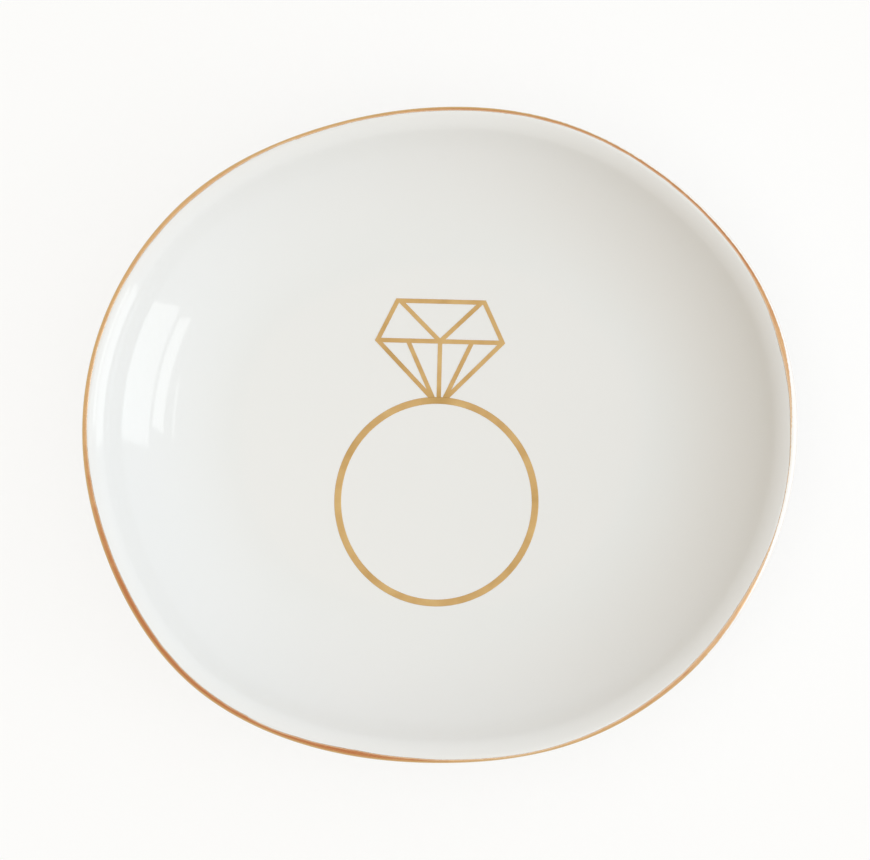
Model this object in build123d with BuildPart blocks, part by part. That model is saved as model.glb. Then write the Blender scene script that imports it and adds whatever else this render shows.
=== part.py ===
from build123d import *
import math
import os

# Ring dish: a small oval dish of porcelain with a foot ring, dipped in clear glaze, gilded
# along its lip, and printed in gold with a finger ring and its cut stone.
# Millimetres. X runs along the dish, Y across it and Z up. The origin is in the middle
# of the dish, at the surface that its foot rests on.

# Whole dish, to the top of its glaze and across its gilding
dish_length = 110.0
dish_width = 101.0
dish_height = 16.5

# Porcelain body, whose wall reaches this far in from the lip to the level floor
floor_thickness = 2.6
wall_reach = 23.0
lip_edge_radius = 0.5
lip_roll_radius = 6.0
lip_roll_slope = 21.0
foot_height = 2.2
foot_wall = 2.6
foot_draft = 0.3
foot_inset = 1.6
foot_edge_radius = 0.6
foot_root_radius = 1.0
foot_grinding = 0.1
floor_lap = 1.2

# Clear glaze, which stops short of the resting face of the foot
glaze_thickness = 0.25
bare_foot_height = 0.9

# Gilding, as wide as it shows from above, and as far as it runs down the outside
gilding_thickness = 0.1
gilding_width = 0.85
gilding_drop = 1.6

# Gold print: the hoop of the finger ring, which leaves a margin to the side of the floor
print_thickness = 0.1
hoop_length = 31.5
hoop_width = 32.3
hoop_band = 1.05
hoop_margin = 1.05
hoop_shift = -0.5

# Gold print: the stone, whose lowest tip stands on the middle of the hoop's band
stone_line = 0.68
girdle_length = 19.3
table_length = 13.4
crown_height = 6.15
crown_facet_inset = 0.4
pavilion_height = 9.1
pavilion_facet_spacing = 9.9
culet_length = 1.5
stone_shift = -0.15
stone_lean = 1.4

# Length by which a cutting shape passes the shape that it cuts
overrun = 5.0

# Outline of the lip: its reach from the middle in sixteen even directions, as shares
outline_reach_shares = (
    1.0, 0.998, 0.967, 0.943, 0.918, 0.925, 0.967, 0.994,
    1.0, 0.993, 0.986, 0.943, 0.918, 0.94, 0.965, 0.985,
)
outline_step = 2 * math.pi / len(outline_reach_shares)
straight_up = 90
straight_down = 270

# Section across the lip, with x pointing out of the dish from the lip's outermost line.
# The lip's edge is a small arc, which a wide arc on the inside joins to the wall.
edge_centre = Vector(
    -gilding_thickness - glaze_thickness - lip_edge_radius,
    dish_height - glaze_thickness - lip_edge_radius,
)
roll_centre = edge_centre + Vector(0, lip_edge_radius - lip_roll_radius).rotate(
    Axis.Z, lip_roll_slope
)

# The inner and the outer face of the wall are arcs that leave the floor at the same place
inner_rise = roll_centre.Y - foot_height - floor_thickness
inner_run = roll_centre.X + wall_reach
inner_radius = (inner_rise**2 + inner_run**2 - lip_roll_radius**2) / (
    2 * (inner_rise + lip_roll_radius)
)
inner_centre = Vector(-wall_reach, foot_height + floor_thickness + inner_radius)
inner_slope = math.degrees(math.atan2(inner_run, inner_centre.Y - roll_centre.Y))

outer_rise = edge_centre.Y - foot_height
outer_run = edge_centre.X + wall_reach
outer_radius = (outer_rise**2 + outer_run**2 - lip_edge_radius**2) / (
    2 * (outer_rise - lip_edge_radius)
)
outer_centre = Vector(-wall_reach, foot_height + outer_radius)
outer_slope = math.degrees(math.atan2(outer_run, outer_centre.Y - edge_centre.Y))

# Foot ring, measured inwards from the lip's outermost line
foot_outer_depth = wall_reach + foot_inset
foot_middle_depth = foot_outer_depth + foot_wall / 2
foot_inner_depth = foot_outer_depth + foot_wall
ring_inner_depth = foot_inner_depth + foot_root_radius + floor_lap


def outline_points(length, width):
    """Points of the outline, for a box of the given length and width about the origin."""
    points = [
        (share * math.cos(place * outline_step), share * math.sin(place * outline_step))
        for place, share in enumerate(outline_reach_shares)
    ]
    with BuildLine() as unit_outline:
        Spline(*points, periodic=True)
    box = unit_outline.line.bounding_box()
    middle = box.center()
    return [
        ((x - middle.X) * length / box.size.X, (y - middle.Y) * width / box.size.Y)
        for x, y in points
    ]


with BuildLine() as lip_path:
    Spline(*outline_points(dish_length, dish_width), periodic=True)

# Upright plane across the lip, with its x pointing out of the dish and its y up
outward = (lip_path.line % 0).cross(Vector(0, 0, 1))
section_plane = Plane(
    origin=lip_path.line @ 0, x_dir=outward, z_dir=outward.cross(Vector(0, 0, 1))
)


def wall_outline(growth):
    """Closed outline of the wall, foot and outer floor, across the lip, grown all round."""
    floor_level = foot_height + floor_thickness + growth
    underside = foot_height - growth
    with BuildLine() as outline:
        inside = CenterArc(inner_centre, inner_radius - growth, straight_down, inner_slope)
        CenterArc(
            roll_centre,
            lip_roll_radius + growth,
            straight_up + inner_slope,
            lip_roll_slope - inner_slope,
        )
        CenterArc(
            edge_centre,
            lip_edge_radius + growth,
            straight_up + lip_roll_slope,
            outer_slope - lip_roll_slope - 2 * straight_up,
        )
        outside = CenterArc(outer_centre, outer_radius + growth, straight_down, outer_slope)
        FilletPolyline(
            outside @ 0,
            (growth - foot_outer_depth, underside),
            (growth - foot_outer_depth - foot_draft, -foot_grinding),
            (foot_draft - growth - foot_inner_depth, -foot_grinding),
            (-growth - foot_inner_depth, underside),
            (-ring_inner_depth, underside),
            (-ring_inner_depth, floor_level),
            inside @ 0,
            radius=[
                foot_root_radius - growth,
                foot_edge_radius + growth,
                foot_edge_radius + growth,
                foot_root_radius - growth,
                0,
                0,
            ],
        )
    return outline.edges()


def floor_plate(level, thickness):
    """Level plate that fills the middle of a swept layer and laps over its inner edge."""
    depth = ring_inner_depth - floor_lap / 2
    edge = []
    for place in range(len(outline_reach_shares)):
        share = place / len(outline_reach_shares)
        inward = Vector(0, 0, 1).cross(lip_path.line % share)
        edge.append(lip_path.line @ share + inward * depth)
    with BuildPart() as plate:
        with BuildSketch(Plane.XY.offset(level)):
            with BuildLine():
                Spline(*edge, periodic=True)
            make_face()
        extrude(amount=thickness)
    return plate.part


# Porcelain body: the casting with its foot ring, which is ground level to rest on
with BuildPart() as porcelain_body:
    with BuildSketch(section_plane):
        make_face(wall_outline(0))
    sweep(path=lip_path.wires()[0])
    add(floor_plate(foot_height, floor_thickness))
    split(bisect_by=Plane.XY)
porcelain_body.part.label = "porcelain_body"


# Glaze on the inside, over the lip and down to the bare part of the foot
with BuildPart() as dish_glaze:
    with BuildSketch(section_plane):
        make_face(wall_outline(glaze_thickness))
        make_face(wall_outline(0), mode=Mode.SUBTRACT)
        Rectangle(
            dish_length,
            2 * bare_foot_height,
            align=(Align.MAX, Align.CENTER),
            mode=Mode.SUBTRACT,
        )
        with Locations((-foot_middle_depth, 0)):
            Rectangle(
                dish_length,
                foot_height + floor_thickness / 2,
                align=(Align.MAX, Align.MIN),
                mode=Mode.SUBTRACT,
            )
    sweep(path=lip_path.wires()[0])
    add(floor_plate(foot_height + floor_thickness, glaze_thickness))
dish_glaze.part.label = "dish_glaze"


# Glaze in the recess inside the foot ring
with BuildPart() as underside_glaze:
    with BuildSketch(section_plane):
        make_face(wall_outline(glaze_thickness))
        make_face(wall_outline(0), mode=Mode.SUBTRACT)
        with Locations((-foot_middle_depth, bare_foot_height)):
            Rectangle(
                dish_length,
                foot_height,
                align=(Align.MAX, Align.MIN),
                mode=Mode.INTERSECT,
            )
    sweep(path=lip_path.wires()[0])
    add(floor_plate(foot_height - glaze_thickness, glaze_thickness))
underside_glaze.part.label = "underside_glaze"


# Gilding: a band painted over the glaze, round the outer edge of the lip
with BuildPart() as rim_gilding:
    with BuildSketch(section_plane):
        make_face(wall_outline(glaze_thickness + gilding_thickness))
        make_face(wall_outline(glaze_thickness), mode=Mode.SUBTRACT)
        with Locations((-gilding_width, dish_height - gilding_drop)):
            Rectangle(
                gilding_width + overrun,
                gilding_drop + overrun,
                align=(Align.MIN, Align.MIN),
                mode=Mode.INTERSECT,
            )
    sweep(path=lip_path.wires()[0])
rim_gilding.part.label = "rim_gilding"


# Print layer: all that the printed figure is cut from, on the floor and up the wall
with BuildPart() as print_layer:
    with BuildSketch(section_plane):
        with BuildLine():
            low = CenterArc(
                inner_centre, inner_radius - glaze_thickness, straight_down, inner_slope
            )
            high = CenterArc(
                inner_centre,
                inner_radius - glaze_thickness - print_thickness,
                straight_down,
                inner_slope,
            )
            Line(low @ 1, high @ 1)
            Polyline(
                low @ 0,
                (-ring_inner_depth, (low @ 0).Y),
                (-ring_inner_depth, (high @ 0).Y),
                high @ 0,
            )
        make_face()
    sweep(path=lip_path.wires()[0])
    add(floor_plate(foot_height + floor_thickness + glaze_thickness, print_thickness))

# Places of the figure on the floor
hoop_drop = dish_width / 2 - wall_reach - hoop_margin - hoop_width / 2
hoop_centre = (hoop_shift, -hoop_drop)
culet_level = (hoop_width - hoop_band) / 2 - hoop_drop
figure_plane = Plane.XY.offset(foot_height + floor_thickness)
figure_height = dish_height - foot_height - floor_thickness

# Hoop of the printed finger ring
with BuildPart() as hoop_print:
    with BuildSketch(figure_plane):
        with Locations(hoop_centre):
            Ellipse(hoop_length / 2, hoop_width / 2)
            Ellipse(hoop_length / 2 - hoop_band, hoop_width / 2 - hoop_band, mode=Mode.SUBTRACT)
    extrude(amount=figure_height)
    add(print_layer, mode=Mode.INTERSECT)
hoop_print.part.label = "hoop_print"


# Stone of the printed finger ring, in lines of one width, seen from the side
girdle_left = (-girdle_length / 2, pavilion_height)
girdle_right = (girdle_length / 2, pavilion_height)
girdle_middle = (0, pavilion_height)
table_left = (-table_length / 2, pavilion_height + crown_height)
table_right = (table_length / 2, pavilion_height + crown_height)
culet_left = (-culet_length / 2, 0)
culet_right = (culet_length / 2, 0)
facet_left = (-pavilion_facet_spacing / 2, pavilion_height)
facet_right = (pavilion_facet_spacing / 2, pavilion_height)
crown_left = (crown_facet_inset - table_length / 2, pavilion_height + crown_height)
crown_right = (table_length / 2 - crown_facet_inset, pavilion_height + crown_height)

culet = figure_plane.from_local_coords(Vector(stone_shift, culet_level))
stone_plane = figure_plane.shift_origin(culet).rotated((0, 0, -stone_lean))

with BuildPart() as stone_print:
    with BuildSketch(stone_plane):
        for stroke in (
            (culet_left, girdle_left, table_left, table_right, girdle_right, culet_right),
            (girdle_left, girdle_right),
            (crown_left, girdle_middle, crown_right),
            (facet_left, culet_left),
            (girdle_middle, (0, 0)),
            (facet_right, culet_right),
        ):
            with BuildLine():
                Polyline(*stroke)
            trace(line_width=stone_line)
    extrude(amount=figure_height)
    add(print_layer, mode=Mode.INTERSECT)
    with BuildSketch(figure_plane):
        with Locations(hoop_centre):
            Ellipse(hoop_length / 2, hoop_width / 2)
    extrude(amount=figure_height, mode=Mode.SUBTRACT)
stone_print.part.label = "stone_print"


os.makedirs("parts", exist_ok=True)
for piece in (porcelain_body, dish_glaze, underside_glaze, rim_gilding, hoop_print, stone_print):
    export_step(piece.part, f"parts/{piece.part.label}.step")
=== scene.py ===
"""Looks of the ring dish: glazed porcelain, a gilded lip and a finger ring printed in gold.

Lengths are in metres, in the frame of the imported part: +X runs along the dish, +Y across it
and +Z up, from the middle of the surface that the foot rests on.
"""

import logging
import math
from collections.abc import Sequence
from dataclasses import dataclass, field
from enum import Enum

import bmesh
import bpy
import numpy as np
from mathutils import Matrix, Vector, noise
from mathutils.geometry import delaunay_2d_cdt


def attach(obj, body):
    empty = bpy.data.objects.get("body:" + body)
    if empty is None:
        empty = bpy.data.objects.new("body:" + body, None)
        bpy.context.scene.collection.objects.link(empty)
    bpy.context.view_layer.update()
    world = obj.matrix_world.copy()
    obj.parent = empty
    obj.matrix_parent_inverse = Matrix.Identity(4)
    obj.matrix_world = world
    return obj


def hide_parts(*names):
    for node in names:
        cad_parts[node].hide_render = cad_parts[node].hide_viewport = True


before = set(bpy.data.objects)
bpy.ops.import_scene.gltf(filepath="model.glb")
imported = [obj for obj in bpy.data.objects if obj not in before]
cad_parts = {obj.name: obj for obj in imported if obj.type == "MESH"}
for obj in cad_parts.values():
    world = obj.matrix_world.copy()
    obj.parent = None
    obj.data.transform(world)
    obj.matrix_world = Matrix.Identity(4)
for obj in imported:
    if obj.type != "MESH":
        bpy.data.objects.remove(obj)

LOG = logging.getLogger("ring_dish")

MM = 0.001
LIP_POINTS = 1080
INSIDE_ONLY = 1

Colour = tuple[float, float, float]
Link = bpy.types.NodeSocket


class Slot(Enum):
    """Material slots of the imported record."""

    BISQUE = "bisque"
    GLAZE = "glaze"
    RIM_GOLD = "rim_gold"
    PRINT_GOLD = "print_gold"


class FootSide(Enum):
    """Side of the foot ring, by the way in which it faces."""

    OUTER = 1
    INNER = -1


@dataclass(frozen=True)
class DishSizes:
    """Driving sizes of the dish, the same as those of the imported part."""

    length: float = 110.0 * MM
    width: float = 101.0 * MM
    height: float = 16.5 * MM
    floor_thickness: float = 2.6 * MM
    wall_reach: float = 23.0 * MM
    lip_edge_radius: float = 0.5 * MM
    lip_roll_radius: float = 6.0 * MM
    lip_roll_slope: float = math.radians(21.0)
    foot_height: float = 2.2 * MM
    foot_wall: float = 2.6 * MM
    foot_draft: float = 0.3 * MM
    foot_inset: float = 1.6 * MM
    foot_root_radius: float = 1.0 * MM
    glaze_thickness: float = 0.25 * MM
    bare_foot_height: float = 0.9 * MM
    gilding_thickness: float = 0.1 * MM
    gilding_drop: float = 1.6 * MM
    reach_shares: tuple[float, ...] = (
        1.0, 0.998, 0.967, 0.943, 0.918, 0.925, 0.967, 0.994,
        1.0, 0.993, 0.986, 0.943, 0.918, 0.94, 0.965, 0.985,
    )

    @property
    def body_floor(self) -> float:
        """Level of the porcelain floor under its glaze."""
        return self.foot_height + self.floor_thickness

    @property
    def glazed_floor(self) -> float:
        """Level of the glazed floor inside the dish."""
        return self.body_floor + self.glaze_thickness

    @property
    def foot_outer_depth(self) -> float:
        """Depth of the foot's outer side, in from the lip's outermost line."""
        return self.wall_reach + self.foot_inset

    @property
    def foot_inner_depth(self) -> float:
        """Depth of the foot's inner side, in from the lip's outermost line."""
        return self.foot_outer_depth + self.foot_wall


class ClosedSpline:
    """Closed cubic spline through points, with its knots spaced by chord length."""

    def __init__(self, points: np.ndarray) -> None:
        """Works out how the spline bends at each point.

        Args:
            points: The points in order, one a row.
        """
        self.points = points
        self.following = np.roll(points, -1, axis=0)
        self.spans = np.linalg.norm(self.following - points, axis=1)
        before = np.roll(self.spans, 1)
        count = len(points)
        system = np.diag(2 * (before + self.spans))
        for place in range(count):
            system[place, place - 1] += before[place]
            system[place, (place + 1) % count] += self.spans[place]
        slopes = (self.following - points) / self.spans[:, None]
        self.bends = np.linalg.solve(system, 6 * (slopes - np.roll(slopes, 1, axis=0)))

    def sample(self, count: int) -> tuple[np.ndarray, np.ndarray]:
        """Points along the whole spline.

        Args:
            count: How many points, at even steps of the spline's parameter.

        Returns:
            The points and the unit tangents there.
        """
        ends = np.cumsum(self.spans)
        at = np.arange(count) / count * ends[-1]
        place = np.searchsorted(ends, at, side="right")
        span = self.spans[place][:, None]
        done = at[:, None] - (ends[place][:, None] - span)
        left = span - done
        bend, next_bend = self.bends[place], np.roll(self.bends, -1, axis=0)[place]
        start = self.points[place] / span - bend * span / 6
        end = self.following[place] / span - next_bend * span / 6
        points = (bend * left**3 + next_bend * done**3) / (6 * span) + start * left + end * done
        tangents = (next_bend * done**2 - bend * left**2) / (2 * span) - start + end
        return points, tangents / np.linalg.norm(tangents, axis=1)[:, None]


class LipOutline:
    """The lip's outermost line, seen from above, sampled once for every ring of the meshes."""

    FITTING_FINENESS = 20

    def __init__(self, sizes: DishSizes, count: int) -> None:
        """Fits the outline to the length and the width, and samples it.

        Args:
            sizes: Sizes of the dish.
            count: How many points go round the dish.
        """
        turns = np.arange(len(sizes.reach_shares)) / len(sizes.reach_shares) * math.tau
        unit = np.array(sizes.reach_shares)[:, None] * np.stack([np.cos(turns), np.sin(turns)], 1)
        fine, _ = ClosedSpline(unit).sample(self.FITTING_FINENESS * count)
        low, high = fine.min(0), fine.max(0)
        scaled = (unit - (low + high) / 2) / (high - low) * (sizes.length, sizes.width)
        self.points, tangents = ClosedSpline(scaled).sample(count)
        self.outward = np.stack([tangents[:, 1], -tangents[:, 0]], 1)
        self.turns = np.arctan2(self.points[:, 1], self.points[:, 0]) % math.tau
        steps = np.linalg.norm(np.roll(self.points, -1, axis=0) - self.points, axis=1)
        self.along = np.concatenate([[0.0], np.cumsum(steps)[:-1]])

    def ring(self, out: float | np.ndarray, level: float | np.ndarray) -> np.ndarray:
        """One ring of points, level with the lip's outermost line or inside it.

        Args:
            out: Distance outwards from the line, for the whole ring or for each point.
            level: Height, for the whole ring or for each point.

        Returns:
            The points in space, one a row.
        """
        count = len(self.points)
        plan = self.points + self.outward * np.broadcast_to(out, count)[:, None]
        return np.column_stack([plan, np.broadcast_to(level, count)])

    def by_turn(self, stops: Sequence[float]) -> np.ndarray:
        """A value for each point, from stops at even turns round the dish.

        Args:
            stops: The values, anticlockwise from +X.

        Returns:
            The values in between, evenly blended.
        """
        turns = np.arange(len(stops)) / len(stops) * math.tau
        return np.interp(self.turns, turns, stops, period=math.tau)

    def wobble(self, wave: float, seed: float) -> np.ndarray:
        """Smooth noise along the line.

        Args:
            wave: Length of its waves.
            seed: A number that picks one noise out of many.

        Returns:
            A number about zero for each point.
        """
        return np.array([noise.noise(Vector((*point / wave, seed))) for point in self.points])


class Section:
    """Section across the lip: x outwards from the lip's outermost line, and y up.

    The counts are the points of its stretches, from the floor over the lip to the foot.
    """

    INSIDE_POINTS = 44
    ROLL_POINTS = 14
    EDGE_POINTS = 24
    OUTSIDE_POINTS = 34
    FOOT_CORNER_POINTS = 8
    FOOT_SIDE_POINTS = 5

    def __init__(self, sizes: DishSizes) -> None:
        """Works out the centres and radii of the wall's arcs.

        Args:
            sizes: Sizes of the dish.
        """
        self.sizes = sizes
        edge, roll = sizes.lip_edge_radius, sizes.lip_roll_radius
        skin, slope = sizes.glaze_thickness, sizes.lip_roll_slope
        self.edge_centre = np.array(
            [-sizes.gilding_thickness - skin - edge, sizes.height - skin - edge]
        )
        self.roll_centre = self.edge_centre + (roll - edge) * np.array(
            [math.sin(slope), -math.cos(slope)]
        )
        run, rise = self.roll_centre - (-sizes.wall_reach, sizes.body_floor)
        self.inner_radius = (rise**2 + run**2 - roll**2) / (2 * (rise + roll))
        self.inner_centre = np.array([-sizes.wall_reach, sizes.body_floor + self.inner_radius])
        self.inner_slope = math.atan2(run, self.inner_centre[1] - self.roll_centre[1])
        run, rise = self.edge_centre - (-sizes.wall_reach, sizes.foot_height)
        self.outer_radius = (rise**2 + run**2 - edge**2) / (2 * (rise - edge))
        self.outer_centre = np.array([-sizes.wall_reach, sizes.foot_height + self.outer_radius])
        self.outer_slope = math.atan2(run, self.outer_centre[1] - self.edge_centre[1])

    @staticmethod
    def arc(centre: np.ndarray, radius: float, start: float, turn: float, count: int) -> np.ndarray:
        """Points of an arc.

        Args:
            centre: Centre of the arc.
            radius: Its radius.
            start: Angle of its first point, in radians from +x.
            turn: Angle from its first to its last point.
            count: How many points.

        Returns:
            The points, one a row.
        """
        angles = np.linspace(start, start + turn, count)
        return centre + radius * np.column_stack([np.cos(angles), np.sin(angles)])

    def wall(self, growth: float, fineness: int = 1) -> np.ndarray:
        """The wall's face from the floor, over the lip and down to the underside.

        Args:
            growth: Distance of the face from the bare porcelain.
            fineness: How many times as many points as the dish's own mesh has.

        Returns:
            The points, one a row.
        """
        down, up = -math.pi / 2, math.pi / 2
        slope = self.sizes.lip_roll_slope
        edge_radius = self.sizes.lip_edge_radius + growth
        roll_radius = self.sizes.lip_roll_radius + growth
        outer_radius = self.outer_radius + growth
        inner, outer = self.inner_slope, self.outer_slope
        stretches = (
            (self.inner_centre, self.inner_radius - growth, down, inner, self.INSIDE_POINTS),
            (self.roll_centre, roll_radius, up + inner, slope - inner, self.ROLL_POINTS),
            (self.edge_centre, edge_radius, up + slope, outer - slope - math.pi, self.EDGE_POINTS),
            (self.outer_centre, outer_radius, down + outer, -outer, self.OUTSIDE_POINTS),
        )
        arcs = [self.arc(*stretch, count * fineness) for *stretch, count in stretches]
        return np.concatenate([arcs[0], *[arc[1:] for arc in arcs[1:]]])

    def foot_side(self, growth: float, side: FootSide, lowest: float) -> np.ndarray:
        """The corner under the floor and one side of the foot, down to the bare part.

        Args:
            growth: Distance of the face from the bare porcelain.
            side: Side of the foot.
            lowest: Level of the last point.

        Returns:
            The points, one a row, from the underside down.
        """
        sizes, away = self.sizes, side.value
        depth = sizes.foot_outer_depth if side is FootSide.OUTER else sizes.foot_inner_depth
        top = sizes.foot_height - growth
        radius = sizes.foot_root_radius - growth
        lean = math.atan2(sizes.foot_draft, sizes.foot_height)
        side_x = away * growth - depth
        reach = radius * math.tan((math.pi / 2 + lean) / 2)
        centre = np.array([side_x + away * reach, top - radius])
        turn = away * (math.pi / 2 - lean)
        corner = self.arc(centre, radius, math.pi / 2, turn, self.FOOT_CORNER_POINTS)
        drop = np.linspace(corner[-1, 1], lowest, self.FOOT_SIDE_POINTS)[1:]
        face = np.column_stack([side_x - away * math.tan(lean) * (top - drop), drop])
        return np.concatenate([corner, face])


@dataclass(frozen=True)
class Unevenness:
    """Slow waves that drying and firing leave in the surface of the dish."""

    height: float = 0.05 * MM
    wave: float = 24.0 * MM

    def at(self, points: np.ndarray) -> np.ndarray:
        """How far the surface stands out at each point.

        Args:
            points: Points in space, one a row.

        Returns:
            A height for each point.
        """
        return np.array([self.height * noise.noise(Vector(p / self.wave)) for p in points])


class MeshMaker:
    """Gathers rings of points and faces into one mesh, with named numbers for its points."""

    def __init__(self, name: str) -> None:
        """Starts an empty mesh.

        Args:
            name: Name of the piece.
        """
        self.name = name
        self.points: list[np.ndarray] = []
        self.faces: list[tuple[int, ...]] = []
        self.marks: dict[str, list[np.ndarray]] = {}
        self.count = 0

    def add(self, points: np.ndarray, **marks: float | np.ndarray) -> int:
        """Adds points.

        Args:
            points: Points in space, one a row.
            marks: Named numbers for these points, which materials read.

        Returns:
            The number of the first of these points.
        """
        first = self.count
        self.points.append(points)
        self.count += len(points)
        for name, value in marks.items():
            self.marks.setdefault(name, []).append(np.broadcast_to(value, len(points)))
        return first

    def bridge(self, first: int, second: int, count: int) -> None:
        """Joins two closed rings by a row of quads.

        Args:
            first: First point of one ring.
            second: First point of the other ring.
            count: How many points each ring has.
        """
        for place in range(count):
            after = (place + 1) % count
            self.faces.append((first + place, first + after, second + after, second + place))

    def loop(self, firsts: list[int], count: int) -> None:
        """Joins rings one after the other, and the last to the first.

        Args:
            firsts: First point of each ring.
            count: How many points each ring has.
        """
        for first, second in zip(firsts, [*firsts[1:], firsts[0]]):
            self.bridge(first, second, count)

    def cap(self, centre: int, ring: int, count: int, flip: bool) -> None:
        """Closes a ring by a fan round one point.

        Args:
            centre: The middle point.
            ring: First point of the ring.
            count: How many points the ring has.
            flip: True where the fan's corners run the other way round.
        """
        for place in range(count):
            face = (centre, ring + place, ring + (place + 1) % count)
            self.faces.append(face[::-1] if flip else face)

    def finish(
        self, material: bpy.types.Material, slot: Slot, *nodes: str, smooth: bool = True
    ) -> bpy.types.Object:
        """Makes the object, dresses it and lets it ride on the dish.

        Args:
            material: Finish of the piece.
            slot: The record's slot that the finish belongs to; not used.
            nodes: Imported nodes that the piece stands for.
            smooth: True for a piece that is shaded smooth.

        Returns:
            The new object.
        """
        mesh = bpy.data.meshes.new(self.name)
        mesh.from_pydata(np.concatenate(self.points).tolist(), [], self.faces)
        for name, values in self.marks.items():
            layer = mesh.attributes.new(name, "FLOAT", "POINT")
            layer.data.foreach_set("value", np.concatenate(values).astype(np.float32))
        mesh.polygons.foreach_set("use_smooth", [smooth] * len(mesh.polygons))
        mesh.materials.append(material)
        mesh.update()
        piece = bpy.data.objects.new(self.name, mesh)
        bpy.context.scene.collection.objects.link(piece)
        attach(piece, "root")
        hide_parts(*nodes)
        return piece


class Value:
    """A number that varies over a surface. Arithmetic on it adds Math nodes."""

    def __init__(self, shader: "Shader", link: Link) -> None:
        """Wraps a socket.

        Args:
            shader: The shader that the socket belongs to.
            link: The socket that gives the number.
        """
        self.shader = shader
        self.link = link

    def __add__(self, other: "Value | float") -> "Value":
        """Sum."""
        return self.shader.maths("ADD", self, other)

    __radd__ = __add__

    def __sub__(self, other: "Value | float") -> "Value":
        """Difference."""
        return self.shader.maths("SUBTRACT", self, other)

    def __rsub__(self, other: float) -> "Value":
        """Difference, taken from a number."""
        return self.shader.maths("SUBTRACT", other, self)

    def __mul__(self, other: "Value | float") -> "Value":
        """Product."""
        return self.shader.maths("MULTIPLY", self, other)

    __rmul__ = __mul__

    def __truediv__(self, other: "Value | float") -> "Value":
        """Quotient."""
        return self.shader.maths("DIVIDE", self, other)

    def __pow__(self, other: float) -> "Value":
        """Power."""
        return self.shader.maths("POWER", self, other)

    def ramp(self, low: float, high: float) -> "Value":
        """Smooth step from 0 to 1.

        Args:
            low: Where the step starts.
            high: Where it ends, which may lie below its start.

        Returns:
            The stepped number.
        """
        node = self.shader.node(
            "ShaderNodeMapRange",
            {"interpolation_type": "SMOOTHSTEP"},
            {
                "Value": self,
                "From Min": min(low, high),
                "From Max": max(low, high),
                "To Min": float(high < low),
                "To Max": float(low < high),
            },
        )
        return Value(self.shader, node.outputs["Result"])


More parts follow.
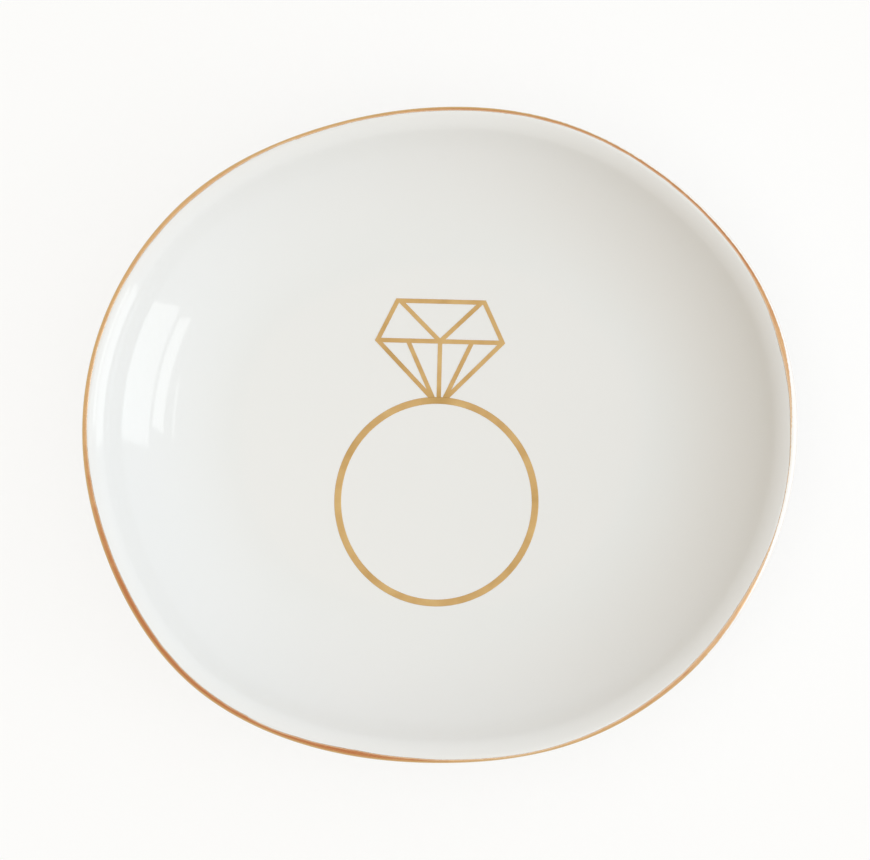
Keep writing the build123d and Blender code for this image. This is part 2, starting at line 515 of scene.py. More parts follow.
class Shader:
    """A material's node tree, or the world's, and the ways to add nodes to it."""

    def __init__(self, owner: bpy.types.Material | bpy.types.World) -> None:
        """Clears the owner's tree.

        Args:
            owner: Material or world.
        """
        owner.use_nodes = True
        self.tree = owner.node_tree
        self.tree.nodes.clear()

    def node(
        self, kind: str, settings: dict | None = None, sockets: dict | None = None
    ) -> bpy.types.Node:
        """Adds a node.

        Args:
            kind: Type of the node.
            settings: The node's own settings, set first.
            sockets: Values or links of its inputs, by name or number.

        Returns:
            The node.
        """
        made = self.tree.nodes.new(kind)
        for name, value in (settings or {}).items():
            setattr(made, name, value)
        for name, value in (sockets or {}).items():
            value = value.link if isinstance(value, Value) else value
            if isinstance(value, bpy.types.NodeSocket):
                self.tree.links.new(value, made.inputs[name])
            elif isinstance(value, tuple) and made.inputs[name].type == "RGBA":
                made.inputs[name].default_value = (*value, 1.0)
            else:
                made.inputs[name].default_value = value
        return made

    def maths(self, operation: str, *terms: Value | float) -> Value:
        """Adds a Math node.

        Args:
            operation: What it works out.
            terms: Its terms, in order.

        Returns:
            The result.
        """
        made = self.node("ShaderNodeMath", {"operation": operation}, dict(enumerate(terms)))
        return Value(self, made.outputs[0])

    def mix(self, share: Value | float, first: Link | Colour, second: Link | Colour) -> Link:
        """Mixes two colours.

        Args:
            share: Share of the second colour.
            first: One colour.
            second: The other colour.

        Returns:
            The mixed colour.
        """
        made = self.node("ShaderNodeMix", {"data_type": "RGBA"}, {0: share, 6: first, 7: second})
        return made.outputs[2]

    def place(self) -> Link:
        """Place on the piece, in metres."""
        return self.node("ShaderNodeTexCoord").outputs["Object"]

    def distance(self, point: tuple[float, float, float]) -> Value:
        """Distance on the piece from a point.

        Args:
            point: The point.

        Returns:
            The distance, in metres.
        """
        made = self.node(
            "ShaderNodeVectorMath", {"operation": "DISTANCE"}, {0: self.place(), 1: point}
        )
        return Value(self, made.outputs["Value"])

    def noise(self, grain: float, detail: float = 2.0, where: Link | None = None) -> Value:
        """Soft noise.

        Args:
            grain: Size of its lumps, in metres.
            detail: How many finer layers it has.
            where: Place that it is read at, if not the place on the piece.

        Returns:
            A number about one half.
        """
        sockets = {"Vector": where or self.place(), "Scale": 1 / grain, "Detail": detail}
        return Value(self, self.node("ShaderNodeTexNoise", None, sockets).outputs["Fac"])

    def specks(self, spacing: float, radius: float, share: float) -> Value:
        """Small round specks.

        Args:
            spacing: Mean distance between the places where a speck can be.
            radius: Radius of a speck.
            share: Share of the places that have one.

        Returns:
            One on a speck and zero elsewhere, with a soft edge.
        """
        cells = self.node(
            "ShaderNodeTexVoronoi", None, {"Vector": self.place(), "Scale": 1 / spacing}
        )
        near = Value(self, cells.outputs["Distance"]).ramp(radius / spacing, 0.5 * radius / spacing)
        pick = self.node("ShaderNodeSeparateColor", None, {0: cells.outputs["Color"]})
        return near * Value(self, pick.outputs[0]).ramp(share, 0.9 * share)

    def mark(self, name: str) -> Value:
        """A number that the mesh carries.

        Args:
            name: Its name.

        Returns:
            The number.
        """
        made = self.node("ShaderNodeAttribute", {"attribute_name": name})
        return Value(self, made.outputs["Fac"])

    def bump(self, height: Value, depth: float) -> Link:
        """Normal of a surface with a fine relief.

        Args:
            height: Relief, from 0 to 1.
            depth: What 1 stands for, in metres.

        Returns:
            The normal.
        """
        made = self.node("ShaderNodeBump", None, {"Height": height, "Distance": depth})
        return made.outputs["Normal"]

    def seen(self) -> Value:
        """Tells rays from the camera, also by way of a mirror or glass, from the others.

        Returns:
            One for such rays and else zero.
        """
        path = self.node("ShaderNodeLightPath")
        rays = [
            Value(self, path.outputs[name])
            for name in ("Is Camera Ray", "Is Glossy Ray", "Is Transmission Ray")
        ]
        return self.maths("MINIMUM", rays[0] + rays[1] + rays[2], 1.0)

    def surface(self, sockets: dict) -> None:
        """Ends the tree in a surface.

        Args:
            sockets: Values or links of the surface's sockets.
        """
        made = self.node("ShaderNodeBsdfPrincipled", None, sockets)
        self.node("ShaderNodeOutputMaterial", None, {"Surface": made.outputs["BSDF"]})


@dataclass(frozen=True)
class GlazeFinish:
    """Clear glossy glaze on white porcelain."""

    white: Colour = (0.767, 0.777, 0.776)
    cool: Colour = (0.739, 0.766, 0.768)
    thin: Colour = (0.772, 0.765, 0.748)
    speck: Colour = (0.36, 0.31, 0.25)
    cloud_size: float = 22 * MM
    speck_spacing: float = 6 * MM
    speck_radius: float = 0.11 * MM
    speck_share: float = 0.3
    gloss: float = 0.05
    smear_size: float = 9 * MM
    smear_dullness: float = 0.05
    peel_size: float = 1.6 * MM
    ripple_size: float = 5 * MM
    peel_depth: float = 0.004 * MM
    refraction: float = 1.5

    def make(self) -> bpy.types.Material:
        """Makes the glaze, which reads the marks pool, thin and under of the mesh.

        Returns:
            The material.
        """
        material = bpy.data.materials.new("glaze")
        shader = Shader(material)
        cloud = shader.noise(self.cloud_size, 3.0)
        colour = shader.mix(0.5 * cloud, self.white, self.cool)
        colour = shader.mix(shader.mark("pool") * (0.4 + 0.8 * cloud), colour, self.cool)
        colour = shader.mix(shader.mark("thin") * 0.7, colour, self.thin)
        specks = shader.specks(self.speck_spacing, self.speck_radius, self.speck_share)
        colour = shader.mix(specks * shader.mark("under") * 0.8, colour, self.speck)
        smears = shader.noise(self.smear_size, 4.0).ramp(0.45, 0.8)
        peel = shader.noise(self.peel_size, 1.0) + shader.noise(self.ripple_size, 1.0) * 2.0
        shader.surface(
            {
                "Base Color": colour,
                "Roughness": self.gloss + smears * self.smear_dullness,
                "IOR": self.refraction,
                "Normal": shader.bump(peel, self.peel_depth),
            }
        )
        return material


@dataclass(frozen=True)
class BisqueFinish:
    """Bare fired porcelain, ground on the foot."""

    pale: Colour = (0.74, 0.70, 0.64)
    deep: Colour = (0.60, 0.54, 0.46)
    speck: Colour = (0.30, 0.24, 0.18)
    cloud_size: float = 7 * MM
    speck_spacing: float = 1.4 * MM
    speck_radius: float = 0.09 * MM
    speck_share: float = 0.35
    grit_size: float = 0.22 * MM
    grit_depth: float = 0.02 * MM
    dullness: float = 0.72

    def make(self) -> bpy.types.Material:
        """Makes the bisque.

        Returns:
            The material.
        """
        material = bpy.data.materials.new("bisque")
        shader = Shader(material)
        grit = shader.noise(self.grit_size, 3.0)
        cloud = shader.noise(self.cloud_size, 4.0)
        specks = shader.specks(self.speck_spacing, self.speck_radius, self.speck_share)
        colour = shader.mix(cloud.ramp(0.35, 0.75), self.pale, self.deep)
        colour = shader.mix(specks * 0.7, colour, self.speck)
        colour = shader.mix(grit.ramp(0.6, 0.75) * 0.35, colour, self.deep)
        shader.surface(
            {
                "Base Color": colour,
                "Roughness": self.dullness + grit * 0.2,
                "Normal": shader.bump(grit, self.grit_depth),
            }
        )
        return material


@dataclass(frozen=True)
class RimGoldFinish:
    """Gold brushed along the lip: coppery in stretches, partly a painted dark reflection, pale
    where it is thin, and a pale bare strip that paints the window's reflection.
    """

    gold: Colour = (0.73, 0.43, 0.20)
    copper: Colour = (0.53, 0.205, 0.080)
    olive: Colour = (0.62, 0.41, 0.17)
    peach: Colour = (0.81, 0.59, 0.40)
    # Pale strip on the lip's outer edge: a painted reflection of the window.
    window_glint: Colour = (0.83, 0.82, 0.80)
    cloud_size: float = 3 * MM
    streak_width: float = 0.12 * MM
    streak_squeeze: float = 0.05
    streak_depth: float = 0.005 * MM
    brim_band: tuple[float, float] = (0.08 * MM, 0.42 * MM)
    feather_band: tuple[float, float] = (0.04 * MM, 0.32 * MM)
    ragged_size: float = 0.5 * MM
    ragged_depth: float = 0.16 * MM
    # Edge softness, brim and least width of that painted window reflection.
    window_glint_edge: float = 0.05 * MM
    window_glint_brim: float = 0.04 * MM
    window_glint_least: tuple[float, float] = (0.02 * MM, 0.08 * MM)
    sheen: float = 0.20
    streak_dullness: float = 0.14

    def make(self) -> bpy.types.Material:
        """Makes the gold, which reads the marks of the gilding's mesh.

        Returns:
            The material.
        """
        material = bpy.data.materials.new("rim_gold")
        shader = Shader(material)
        across, deep, window_glint = shader.mark("across"), shader.mark("deep"), shader.mark("bare")
        along = shader.mark("along") * self.streak_squeeze
        brushed = shader.node("ShaderNodeCombineXYZ", None, {0: along, 1: across, 2: 0.0})
        streaks = shader.noise(self.streak_width, 3.0, brushed.outputs[0])
        cloud = shader.noise(self.cloud_size, 3.0)
        # Copper tone: partly random, partly painted dark reflection from the shares set round the
        # dish.
        copper = shader.mark("copper") + (cloud - 0.5) * 0.9 + (streaks - 0.5) * 0.5
        colour = shader.mix(copper.ramp(0.1, 0.9), self.gold, self.copper)
        brim = deep.ramp(*self.brim_band[::-1]) * (0.5 + 0.8 * cloud)
        colour = shader.mix(brim, colour, self.olive)
        feather = across.ramp(*self.feather_band[::-1])
        thin = shader.mark("thin") + feather * 0.9 + (streaks - 0.5) * 0.4
        colour = shader.mix(thin.ramp(0.0, 1.2), colour, self.peach)
        # Painted reflection of the window: the gold is left bare and pale on its outer edge on the
        # window side.
        ragged = (shader.noise(self.ragged_size, 2.0) - 0.5) * self.ragged_depth
        bare = (window_glint - deep + ragged).ramp(0.0, self.window_glint_edge)
        bare = bare * deep.ramp(0.0, self.window_glint_brim) * window_glint.ramp(*self.window_glint_least)
        colour = shader.mix(bare, colour, self.window_glint)
        dullness = streaks.ramp(0.35, 0.75) * self.streak_dullness
        shader.surface(
            {
                "Base Color": colour,
                "Metallic": 1 - bare,
                "Roughness": self.sheen + dullness - bare * 0.1,
                "Normal": shader.bump(streaks * (1 - bare), self.streak_depth),
            }
        )
        return material


@dataclass(frozen=True)
class PrintGoldFinish:
    """Satin gold print, fired on the glaze."""

    gold: Colour = (0.645, 0.412, 0.172)
    dark: Colour = (0.520, 0.320, 0.110)
    light: Colour = (0.700, 0.480, 0.210)
    cloud_size: float = 3.5 * MM
    crowded_reach: float = 3.5 * MM
    grain_size: float = 0.12 * MM
    grain_depth: float = 0.004 * MM
    sheen: float = 0.34

    def make(self, tip: tuple[float, float, float]) -> bpy.types.Material:
        """Makes the print.

        Args:
            tip: Point at which the stone's lines meet and the print lies thickest.

        Returns:
            The material.
        """
        material = bpy.data.materials.new("print_gold")
        shader = Shader(material)
        cloud = shader.noise(self.cloud_size, 2.0)
        grain = shader.noise(self.grain_size, 2.0)
        crowded = shader.distance(tip).ramp(self.crowded_reach, 0.0)
        colour = shader.mix(cloud.ramp(0.4, 0.75), self.gold, self.light)
        colour = shader.mix(cloud.ramp(0.5, 0.2) * 0.6, colour, self.dark)
        colour = shader.mix(crowded * 0.8, colour, self.dark)
        colour = shader.mix(grain.ramp(0.58, 0.8) * 0.35, colour, self.dark)
        shader.surface(
            {
                "Base Color": colour,
                "Metallic": 1.0,
                "Roughness": self.sheen + grain * 0.16,
                "Normal": shader.bump(grain, self.grain_depth),
            }
        )
        return material


@dataclass(frozen=True)
class GlazedDish:
    """The glaze on the dish, and the glaze in the recess under it.

    The shares count along the wall's section, from 0 at the floor to 1 at the underside: where
    the glaze pools in the bend, thins on the lip, faces outwards, and pools again at the foot.
    """

    sizes: DishSizes
    outline: LipOutline
    unevenness: Unevenness
    floor_rings: int = 14
    glaze_line_wave: float = 5.0 * MM
    glaze_line_sway: float = 0.14 * MM
    bend_share: float = 0.02
    bend_reach_share: float = 0.12
    lip_share: float = 0.6
    outside_share: float = 0.7
    foot_share: float = 1.03
    narrow_reach_share: float = 0.05
    unmarked: dict[str, float] = field(
        default_factory=lambda: {"pool": 0.0, "thin": 0.0, "under": 0.0}
    )

    def rise(self, rings: list[np.ndarray]) -> list[np.ndarray]:
        """Moves rings of a surface along its normals by the unevenness.

        Args:
            rings: Rings of points, in order along the section.

        Returns:
            The moved rings.
        """
        grid = np.stack(rings)
        along = np.gradient(grid, axis=0)
        around = np.roll(grid, -1, axis=1) - np.roll(grid, 1, axis=1)
        normals = np.cross(along, around)
        normals /= np.linalg.norm(normals, axis=2)[:, :, None]
        heights = self.unevenness.at(grid.reshape(-1, 3)).reshape(grid.shape[:2])
        return list(grid + normals * heights[:, :, None])

    def disc(self, depth: float, level: float) -> list[np.ndarray]:
        """Rings of a level disc, from near its middle to just inside its edge.

        Args:
            depth: Depth of its edge, in from the lip's outermost line.
            level: Its level.

        Returns:
            The rings.
        """
        edge = self.outline.ring(-depth, level)
        middle = edge.mean(0)
        shares = np.arange(1, self.floor_rings) / self.floor_rings
        return [middle + share * (edge - middle) for share in shares]

    def rings(self, section_points: np.ndarray) -> list[np.ndarray]:
        """Rings round the dish through points of the section."""
        return [self.outline.ring(x, y) for x, y in section_points]

    def glaze_line(self) -> np.ndarray:
        """Level at which the glaze ends on the foot, uneven as a wiped edge is."""
        sway = self.outline.wobble(self.glaze_line_wave, 3.0)
        return self.sizes.bare_foot_height + self.glaze_line_sway * sway

    def closed_skin(
        self,
        name: str,
        outer: list[np.ndarray],
        inner: list[np.ndarray],
        marks: list[dict[str, float]],
    ) -> MeshMaker:
        """Closes an outer and an inner face, which both start in the middle, into one skin.

        Args:
            name: Name of the piece.
            outer: Rings of the outer face, from the middle outwards.
            inner: Rings of the inner face, from the middle outwards.
            marks: Marks of each outer ring.

        Returns:
            The mesh maker that holds the skin.
        """
        maker = MeshMaker(name)
        count = len(outer[0])
        line = self.glaze_line()
        for rings in (outer, inner):
            rings[-1][:, 2] = line
        firsts = [maker.add(ring, **mark) for ring, mark in zip(outer, marks)]
        firsts += [maker.add(ring, **self.unmarked) for ring in inner[::-1]]
        tips = [maker.add(rings[0].mean(0)[None, :], **self.unmarked) for rings in (outer, inner)]
        for first, second in zip(firsts, firsts[1:]):
            maker.bridge(first, second, count)
        maker.cap(tips[0], firsts[0], count, True)
        maker.cap(tips[1], firsts[-1], count, False)
        return maker

    @staticmethod
    def nearness(share: float, place: float, reach: float) -> float:
        """One at a place along the section, and down to zero well past the reach."""
        return math.exp(-(((share - place) / reach) ** 2))

    def wall_marks(self, share: float) -> dict[str, float]:
        """Marks of the glaze at one place of the wall.

        Args:
            share: Way along the section, from 0 at the floor to 1 at the underside.

        Returns:
            How much the glaze pools, how thin it is, and whether it is on the outside.
        """
        bend = self.nearness(share, self.bend_share, self.bend_reach_share)
        foot = self.nearness(share, self.foot_share, self.narrow_reach_share)
        lip = self.nearness(share, self.lip_share, self.narrow_reach_share)
        return {
            "pool": 0.5 * bend * float(share >= 0) + foot,
            "thin": lip,
            "under": float(share > self.outside_share),
        }

    def build_dish(self, material: bpy.types.Material) -> bpy.types.Object:
        """The glaze inside the dish, over its lip and down to the foot.

        Args:
            material: The glaze.

        Returns:
            The piece.
        """
        sizes, section = self.sizes, Section(self.sizes)
        faces = []
        for growth in (sizes.glaze_thickness, 0.0):
            wall = section.wall(growth)
            foot = section.foot_side(growth, FootSide.OUTER, sizes.bare_foot_height)
            floor = self.disc(sizes.wall_reach, sizes.body_floor + growth)
            faces.append(floor + self.rings(np.concatenate([wall, foot])))
        ways = (np.arange(len(faces[0])) - self.floor_rings + 1) / len(wall)
        marks = [self.wall_marks(way) for way in ways]
        maker = self.closed_skin("glazed_dish", self.rise(faces[0]), faces[1], marks)
        return maker.finish(material, Slot.GLAZE, "dish_glaze")

    def build_underside(self, material: bpy.types.Material) -> bpy.types.Object:
        """The glaze in the recess inside the foot ring.

        Args:
            material: The glaze.

        Returns:
            The piece.
        """
        sizes, section = self.sizes, Section(self.sizes)
        faces = []
        for growth in (sizes.glaze_thickness, 0.0):
            side = section.foot_side(growth, FootSide.INNER, sizes.bare_foot_height)
            recess = self.disc(-side[0, 0], sizes.foot_height - growth)
            faces.append(recess + self.rings(side))
        marks = [self.unmarked | {"under": 1.0} for _ in faces[0]]
        maker = self.closed_skin("underside_glaze_coat", faces[1], faces[0], marks)
        return maker.finish(material, Slot.GLAZE, "underside_glaze")


@dataclass(frozen=True)
class BrushLap:
    """Place where a stroke of the brush starts, and the gold is wider for a while."""

    turn: float
    step: float
    reach: float


@dataclass(frozen=True)
class RimGilding:
    """Gold brushed by hand over the lip's edge, wider and narrower as the hand went.

    Its widths, the widths of a pale bare strip that paints the window's reflection on the lip's
    outer edge, and the shares of copper, partly painted dark reflection, and of thin gold are given
    at even turns round the dish, anticlockwise from +X.
    """

    sizes: DishSizes
    outline: LipOutline
    unevenness: Unevenness
    film: float = 0.04 * MM
    rows: int = 25
    feathering: int = 6
    path_fineness: int = 8
    slow_wave: float = 3 * MM
    slow_sway: float = 0.05 * MM
    quick_wave: float = 0.8 * MM
    quick_sway: float = 0.02 * MM
    drop_wave: float = 4 * MM
    drop_sway: float = 0.18 * MM
    widths_mm: tuple[float, ...] = (
        1.12, 1.13, 0.78, 0.66, 0.66, 0.65, 0.68, 0.60, 0.57, 0.87, 0.81, 0.68,
        0.80, 1.07, 1.12, 0.97, 0.79, 1.07, 0.63, 0.48, 0.67, 0.87, 1.09, 0.80,
    )
    # Widths of the pale bare strip, a painted reflection of the window on the +X side.
    window_glint_mm: tuple[float, ...] = (
        0.88, 0.32, 0.24, 0.19, 0.15, 0.08, 0.0, 0.0, 0.0, 0.0, 0.0, 0.0,
        0.0, 0.0, 0.0, 0.0, 0.0, 0.0, 0.0, 0.0, 0.0, 0.0, 0.30, 0.64,
    )
    # Copper shares round the dish: partly painted dark reflection of the room in the gold.
    copper_and_reflection_shares: tuple[float, ...] = (
        0.4, 0.20, 0.75, 0.85, 0.85, 0.75, 0.65, 0.3, 0.25, 0.15, 0.2, 0.2,
        0.25, 0.6, 1.0, 1.0, 0.95, 0.9, 0.55, 0.2, 0.4, 0.45, 0.2, 0.4,
    )
    thin_shares: tuple[float, ...] = (
        0.9, 0.3, 0.0, 0.0, 0.0, 0.0, 0.0, 0.0, 0.1, 0.1, 0.1, 0.0,
        0.0, 0.0, 0.0, 0.0, 0.0, 0.0, 0.1, 0.3, 0.1, 0.3, 0.5, 0.9,
    )
    laps: tuple[BrushLap, ...] = (
        BrushLap(math.radians(116.0), 0.16 * MM, math.radians(9.0)),
        BrushLap(math.radians(17.0), 0.12 * MM, math.radians(6.0)),
        BrushLap(math.radians(236.0), 0.10 * MM, math.radians(8.0)),
    )

    def width(self) -> np.ndarray:
        """How far in over the lip the gold reaches.

        Returns:
            The distance in from the lip's outermost line, at each point.
        """
        width = self.outline.by_turn(self.widths_mm) * MM
        width += self.slow_sway * self.outline.wobble(self.slow_wave, 1.0)
        width += self.quick_sway * self.outline.wobble(self.quick_wave, 2.0)
        for lap in self.laps:
            past = (lap.turn - self.outline.turns) % math.tau
            width += lap.step * (np.exp(-past / lap.reach) - 0.5 * np.exp(-past / (2 * lap.reach)))
        return width

    def build(self, material: bpy.types.Material) -> bpy.types.Object:
        """The gilding as a thin film with feathered edges.

        Args:
            material: The gold.

        Returns:
            The piece.
        """
        sizes, outline = self.sizes, self.outline
        path = Section(sizes).wall(sizes.glaze_thickness, self.path_fineness)
        steps = np.gradient(path, axis=0)
        normals = np.column_stack([-steps[:, 1], steps[:, 0]])
        normals /= np.linalg.norm(normals, axis=1)[:, None]
        lengths = np.concatenate([[0.0], np.cumsum(np.linalg.norm(np.diff(path, axis=0), axis=1))])
        crest, brim = path[:, 1].argmax(), path[:, 0].argmax()
        start = np.interp(-self.width(), path[:brim, 0], lengths[:brim])
        drop = sizes.gilding_drop + self.drop_sway * outline.wobble(self.drop_wave, 5.0)
        end = np.interp(sizes.height - drop, path[crest:, 1][::-1], lengths[crest:][::-1])
        maker = MeshMaker("rim_gold_band")
        shares = np.arange(self.rows) / (self.rows - 1)
        heights = self.film * (1 - (2 * shares - 1) ** self.feathering)
        under = [(share, -0.5 * self.film) for share in shares[-2:0:-1]]
        steady = {
            "along": outline.along,
            "copper": outline.by_turn(self.copper_and_reflection_shares),
            "thin": outline.by_turn(self.thin_shares),
            # The pale bare strip that paints the window's reflection.
            "bare": outline.by_turn(self.window_glint_mm) * MM,
        }
        firsts = []
        for share, height in [*zip(shares, heights), *under]:
            at = start + share * (end - start)
            x, y, out, up = (
                np.interp(at, lengths, values)
                for values in (path[:, 0], path[:, 1], normals[:, 0], normals[:, 1])
            )
            lift = height + self.unevenness.at(outline.ring(x, y))
            past_brim = at - lengths[brim]
            deep = np.where(past_brim < 0, -x - sizes.gilding_thickness, -past_brim)
            ring = outline.ring(x + out * lift, y + up * lift)
            firsts.append(maker.add(ring, across=at - start, deep=deep, **steady))
        maker.loop(firsts, len(outline.points))
        return maker.finish(material, Slot.RIM_GOLD, "rim_gilding")


@dataclass(frozen=True)
class PrintedRing:
    """The finger ring printed on the floor of the dish: its hoop and its stone.

    The bead's shares are places across the hoop's band, and heights of the film there.
    """

    dish: DishSizes
    unevenness: Unevenness
    film: float = 0.06 * MM
    bead_shares: tuple[tuple[float, float], ...] = (
        (0.0, -0.3), (0.0, 0.35), (0.04, 0.8), (0.12, 1.0), (0.5, 1.06),
    )
    sunk_share: float = 0.3
    stone_height_share: float = 1.3
    stone_bevel_share: float = 0.5
    stone_weld_mm: float = 1e-5
    hoop_points: int = 720
    hoop_points_step: int = 4
    hoop_length: float = 31.5 * MM
    hoop_width: float = 32.3 * MM
    hoop_band: float = 1.05 * MM
    hoop_margin: float = 1.05 * MM
    hoop_shift: float = -0.5 * MM
    stone_line: float = 0.68 * MM
    girdle_length: float = 19.3 * MM
    table_length: float = 13.4 * MM
    crown_height: float = 6.15 * MM
    crown_facet_inset: float = 0.4 * MM
    pavilion_height: float = 9.1 * MM
    pavilion_facet_spacing: float = 9.9 * MM
    culet_length: float = 1.5 * MM
    stone_shift: float = -0.15 * MM
    stone_lean: float = math.radians(1.4)

    @property
    def hoop_drop(self) -> float:
        """How far the hoop's middle lies below the middle of the dish."""
        dish = self.dish
        return dish.width / 2 - dish.wall_reach - self.hoop_margin - self.hoop_width / 2

    @property
    def stone_tip(self) -> tuple[float, float, float]:
        """The stone's lowest tip, on the hoop's line."""
        across = (self.hoop_width - self.hoop_band) / 2 - self.hoop_drop
        return self.stone_shift, across, self.dish.glazed_floor

    def hoop_line(self, inset: float) -> np.ndarray:
        """Points round the hoop.

        Args:
            inset: Distance in from the hoop's outer edge.

        Returns:
            The points in the plan, one a row.
        """
        turns = np.arange(self.hoop_points) / self.hoop_points * math.tau
        across, up = self.hoop_length / 2 - inset, self.hoop_width / 2 - inset
        middle = np.array([self.hoop_shift, -self.hoop_drop])
        return middle + np.column_stack([across * np.cos(turns), up * np.sin(turns)])

    def settle(self, plan: np.ndarray, height: float) -> np.ndarray:
        """Points of the print, on the uneven floor.

        Args:
            plan: Points in the plan, one a row.
            height: Height over the glaze.

        Returns:
            The points in space, one a row.
        """
        points = np.column_stack([plan, np.full(len(plan), self.dish.glazed_floor)])
        points[:, 2] += self.unevenness.at(points) + height
        return points

    def build_hoop(self, material: bpy.types.Material) -> bpy.types.Object:
        """The hoop, a low bead with soft edges.

        Args:
            material: The gold.

        Returns:
            The piece.
        """
        fall = [(1 - share, height) for share, height in self.bead_shares[-2::-1]]
        maker = MeshMaker("hoop_of_gold_print")
        firsts = []
        for share, height in [*self.bead_shares, *fall]:
            ring = self.settle(self.hoop_line(share * self.hoop_band), height * self.film)
            firsts.append(maker.add(ring))
        maker.loop(firsts, self.hoop_points)
        return maker.finish(material, Slot.PRINT_GOLD, "hoop_print")

    def strokes(self) -> list[list[tuple[float, float]]]:
        """Lines of the stone: its outline, its girdle, and the facets above and below it.

        Returns:
            The corners of each line, in a frame whose origin is at the stone's lowest tip.
        """
        girdle, table = self.girdle_length / 2, self.table_length / 2
        waist, top = self.pavilion_height, self.pavilion_height + self.crown_height
        tip, facet = self.culet_length / 2, self.pavilion_facet_spacing / 2
        crown = table - self.crown_facet_inset
        return [
            [(-tip, 0), (-girdle, waist), (-table, top), (table, top), (girdle, waist), (tip, 0)],
            [(-girdle, waist), (girdle, waist)],
            [(-crown, top), (0, waist), (crown, top)],
            [(-facet, waist), (-tip, 0)],
            [(0, waist), (0, 0)],
            [(facet, waist), (tip, 0)],
        ]

    def stroke_faces(self, line: list[tuple[float, float]]) -> list[np.ndarray]:
        """Four-sided faces that cover one line at its width, mitred at its corners.

        Args:
            line: Corners of the line.

        Returns:
            The corners of each face.
        """
        corners = np.array(line, float)
        steps = np.diff(corners, axis=0)
        steps /= np.linalg.norm(steps, axis=1)[:, None]
        sides = np.column_stack([-steps[:, 1], steps[:, 0]])
        mitres = sides[:-1] + sides[1:]
        mitres *= 2 / np.sum(mitres**2, axis=1)[:, None]
        offsets = self.stone_line / 2 * np.concatenate([sides[:1], mitres, sides[-1:]])
        left, right = corners + offsets, corners - offsets
        return [
            np.array([right[place], right[place + 1], left[place + 1], left[place]])
            for place in range(len(steps))
        ]

    def on_floor(self, points: np.ndarray) -> np.ndarray:
        """Points of the stone's own frame, in the plan of the dish."""
        cos, sin = math.cos(self.stone_lean), math.sin(self.stone_lean)
        return points @ np.array([[cos, -sin], [sin, cos]]) + self.stone_tip[:2]

    def stone_plan(self) -> tuple[np.ndarray, list[list[int]]]:
        """The stone's lines as one flat figure, cut off where it meets the hoop.

        Returns:
            Its points and its triangles.
        """
        faces = [self.on_floor(f) for line in self.strokes() for f in self.stroke_faces(line)]
        loops = [*faces, self.hoop_line(0.0)[:: self.hoop_points_step]]
        starts = np.cumsum([0, *[len(loop) for loop in loops]])
        numbers = [list(range(a, b)) for a, b in zip(starts, starts[1:])]
        corners = [Vector(point / MM) for loop in loops for point in loop]
        points, _, triangles, _, _, origins = delaunay_2d_cdt(
            corners, [], numbers, INSIDE_ONLY, self.stone_weld_mm
        )
        kept = [t for t, origin in zip(triangles, origins) if origin and len(faces) not in origin]
        return np.array([(p.x, p.y) for p in points]) * MM, kept

    def build_stone(self, material: bpy.types.Material) -> bpy.types.Object:
        """The stone's lines as one flat film with a bevelled edge.

        Args:
            material: The gold.

        Returns:
            The piece.
        """
        plan, triangles = self.stone_plan()
        shape = bmesh.new()
        verts = [shape.verts.new((*point, 0.0)) for point in plan]
        for triangle in triangles:
            shape.faces.new([verts[place] for place in triangle])
        loose = [vert for vert in shape.verts if not vert.link_faces]
        bmesh.ops.delete(shape, geom=loose, context="VERTS")
        bmesh.ops.dissolve_limit(
            shape, angle_limit=math.radians(1), verts=shape.verts[:], edges=shape.edges[:]
        )
        bmesh.ops.triangulate(shape, faces=shape.faces[:])
        made = bmesh.ops.extrude_face_region(shape, geom=shape.faces[:])["geom"]
        upper = {part for part in made if isinstance(part, bmesh.types.BMVert)}
        height = self.stone_height_share * self.film
        bmesh.ops.translate(shape, verts=list(upper), vec=(0, 0, height))
        rims = [
            edge
            for edge in shape.edges
            if upper.issuperset(edge.verts)
            and not all(upper.issuperset(face.verts) for face in edge.link_faces)
        ]
        bevel = self.stone_bevel_share * self.film
        bmesh.ops.bevel(shape, geom=rims, offset=bevel, segments=2, affect="EDGES")
        bmesh.ops.recalc_face_normals(shape, faces=shape.faces[:])
        shape.verts.index_update()
        flat = np.array([tuple(vert.co) for vert in shape.verts])
        points = self.settle(flat[:, :2], -self.sunk_share * self.film)
        points[:, 2] += flat[:, 2]
        maker = MeshMaker("stone_of_gold_print")
        maker.add(points)
        maker.faces = [tuple(vert.index for vert in face.verts) for face in shape.faces]
        shape.free()
        return maker.finish(material, Slot.PRINT_GOLD, "stone_print", smooth=False)


@dataclass(frozen=True)
class WindowPane:
    """A pane of the soft window light, by the angles at which the dish sees it."""

    name: str
    left: float
    right: float
    low: float
    high: float
    strength: float
    colour: Colour = (0.96, 1.0, 1.0)
    distance: float = 1.5

    def add(self) -> None:
        """Adds the pane as a flat light that faces the dish."""
        turn = math.radians((self.left + self.right) / 2)
        rise = math.radians((self.low + self.high) / 2)
        toward = Vector(
            (math.cos(turn) * math.cos(rise), math.sin(turn) * math.cos(rise), math.sin(rise))
        )
        data = bpy.data.lights.new(self.name, "AREA")
        data.shape = "RECTANGLE"
        half_width = math.tan(math.radians(self.right - self.left) / 2) * math.cos(rise)
        data.size = 2 * self.distance * half_width
        data.size_y = 2 * self.distance * math.tan(math.radians(self.high - self.low) / 2)
        data.energy = self.strength * math.pi * data.size * data.size_y
        data.color = self.colour
        light = bpy.data.objects.new(self.name, data)
        light.location = toward * self.distance
        light.rotation_mode = "QUATERNION"
        light.rotation_quaternion = toward.to_track_quat("Z", "Y")
        light.visible_camera = False
        bpy.context.scene.collection.objects.link(light)


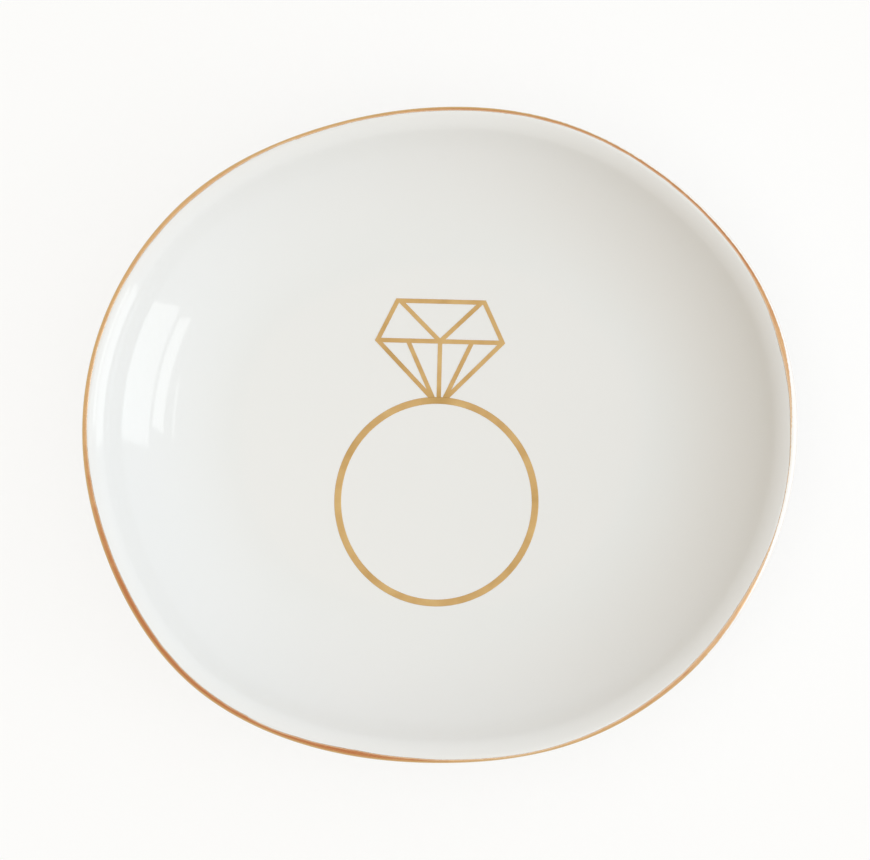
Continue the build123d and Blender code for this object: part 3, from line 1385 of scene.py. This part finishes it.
@dataclass(frozen=True)
class Studio:
    """Floor, camera and light."""

    sizes: DishSizes
    background: Colour = (0.956, 0.956, 0.948)
    floor_paint: Colour = (0.90, 0.90, 0.90)
    floor_glow: Colour = (0.985, 0.985, 0.975)
    floor_glow_share: float = 0.8
    plain_light: Colour = (1.0, 1.0, 1.0)
    low_light: Colour = (1.85, 1.85, 1.85)
    high_light: Colour = (2.15, 2.16, 2.15)
    warm_side: Colour = (0.50, 0.30, 0.0)
    dark_side: Colour = (0.06, 0.0, 0.0)
    dim_toward: tuple[float, float] = (-0.985, -0.17)
    floor_half_length: float = 30.0
    camera_distance: float = 3.0
    film_width_mm: float = 36.0
    photo_width_px: float = 870.0
    photo_height_px: float = 860.0
    dish_middle_px: tuple[float, float] = (439.66, 434.95)
    dish_length_px: float = 715.9
    panes: tuple[WindowPane, ...] = (
        WindowPane("low_pane", -29.0, 2.0, 3.0, 29.0, 1.75),
        WindowPane("high_pane", -28.0, -1.0, 32.0, 41.0, 2.2),
        WindowPane("top_pane", -13.0, 1.0, 47.5, 49.5, 1.5),
    )

    def add_camera(self) -> None:
        """A camera straight above the dish, framed as the photograph is."""
        pixel = self.sizes.length / self.dish_length_px
        data = bpy.data.cameras.new("camera")
        data.sensor_width = self.film_width_mm
        data.lens = self.film_width_mm * self.camera_distance / (self.photo_width_px * pixel)
        data.clip_end = 4 * self.floor_half_length
        camera = bpy.data.objects.new("camera", data)
        camera.location = (
            (self.photo_width_px / 2 - self.dish_middle_px[0]) * pixel,
            (self.dish_middle_px[1] - self.photo_height_px / 2) * pixel,
            self.sizes.height + self.camera_distance,
        )
        bpy.context.scene.collection.objects.link(camera)
        bpy.context.scene.camera = camera

    def add_floor(self) -> None:
        """A wide pale floor, which looks near white and keeps the dish's shadow."""
        half = self.floor_half_length
        mesh = bpy.data.meshes.new("floor")
        edge = [(-half, -half, 0), (half, -half, 0), (half, half, 0), (-half, half, 0)]
        mesh.from_pydata(edge, [], [(0, 1, 2, 3)])
        floor = bpy.data.objects.new("floor", mesh)
        bpy.context.scene.collection.objects.link(floor)
        material = bpy.data.materials.new("floor")
        shader = Shader(material)
        lit = shader.node("ShaderNodeBsdfDiffuse", None, {"Color": self.floor_paint})
        glow = shader.node(
            "ShaderNodeEmission", None, {"Color": self.floor_glow, "Strength": 1.0}
        )
        both = shader.node(
            "ShaderNodeMixShader",
            None,
            {
                0: shader.seen() * self.floor_glow_share,
                1: lit.outputs[0],
                2: glow.outputs[0],
            },
        )
        shader.node("ShaderNodeOutputMaterial", None, {"Surface": both.outputs[0]})
        mesh.materials.append(material)

    def add_world(self) -> None:
        """Soft light from all round, with the room's dim, warm side low on the left."""
        world = bpy.data.worlds.new("world")
        bpy.context.scene.world = world
        shader = Shader(world)
        where = shader.node("ShaderNodeTexCoord").outputs["Generated"]
        parts = shader.node("ShaderNodeSeparateXYZ", None, {0: where})
        side, across, up = (Value(shader, parts.outputs[axis]) for axis in range(3))
        level = (1 - up * up) ** 0.5
        dim_x, dim_y = self.dim_toward
        left = ((side * dim_x + across * dim_y) / level).ramp(-0.05, 0.7)
        right = (side / level).ramp(0.3, 0.9)
        low = up.ramp(0.3, 0.0)
        colour = shader.mix(low * (1 - right), self.plain_light, self.low_light)
        colour = shader.mix(left * up.ramp(0.80, 0.62), colour, self.warm_side)
        colour = shader.mix(left * up.ramp(0.45, 0.25), colour, self.dark_side)
        colour = shader.mix(left * up.ramp(0.75, 0.92), colour, self.high_light)
        colour = shader.mix(shader.seen(), colour, self.background)
        back = shader.node("ShaderNodeBackground", None, {"Color": colour, "Strength": 1.0})
        shader.node("ShaderNodeOutputWorld", None, {"Surface": back.outputs[0]})

    def build(self) -> None:
        """Sets the whole studio up."""
        bpy.context.scene.view_settings.view_transform = "Standard"
        self.add_camera()
        self.add_floor()
        self.add_world()
        for pane in self.panes:
            pane.add()


def dress_body() -> bpy.types.Object:
    """Gives the porcelain body, which shows only at its bare foot, its finish.

    Returns:
        The body.
    """
    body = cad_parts["porcelain_body"]
    body.data.materials.clear()
    body.data.materials.append(BisqueFinish().make())
    return body


def corners(box: Sequence[Vector]) -> list[list[float]]:
    """A box's two corners as plain lists."""
    return [list(corner) for corner in box]


def main() -> None:
    """Builds and dresses every piece."""
    logging.basicConfig(level=logging.INFO, format="%(name)s %(message)s")
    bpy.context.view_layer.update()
    sizes, unevenness = DishSizes(), Unevenness()
    outline = LipOutline(sizes, LIP_POINTS)
    dish = GlazedDish(sizes, outline, unevenness)
    figure = PrintedRing(sizes, unevenness)
    glaze, gold = GlazeFinish().make(), PrintGoldFinish().make(figure.stone_tip)
    pieces = [
        dress_body(),
        dish.build_dish(glaze),
        dish.build_underside(glaze),
        RimGilding(sizes, outline, unevenness).build(RimGoldFinish().make()),
        figure.build_hoop(gold),
        figure.build_stone(gold),
    ]
    for piece in pieces:
        LOG.info("%s: %d faces", piece.name, len(piece.data.polygons))
    Studio(sizes).build()


if __name__ == "__main__":
    main()
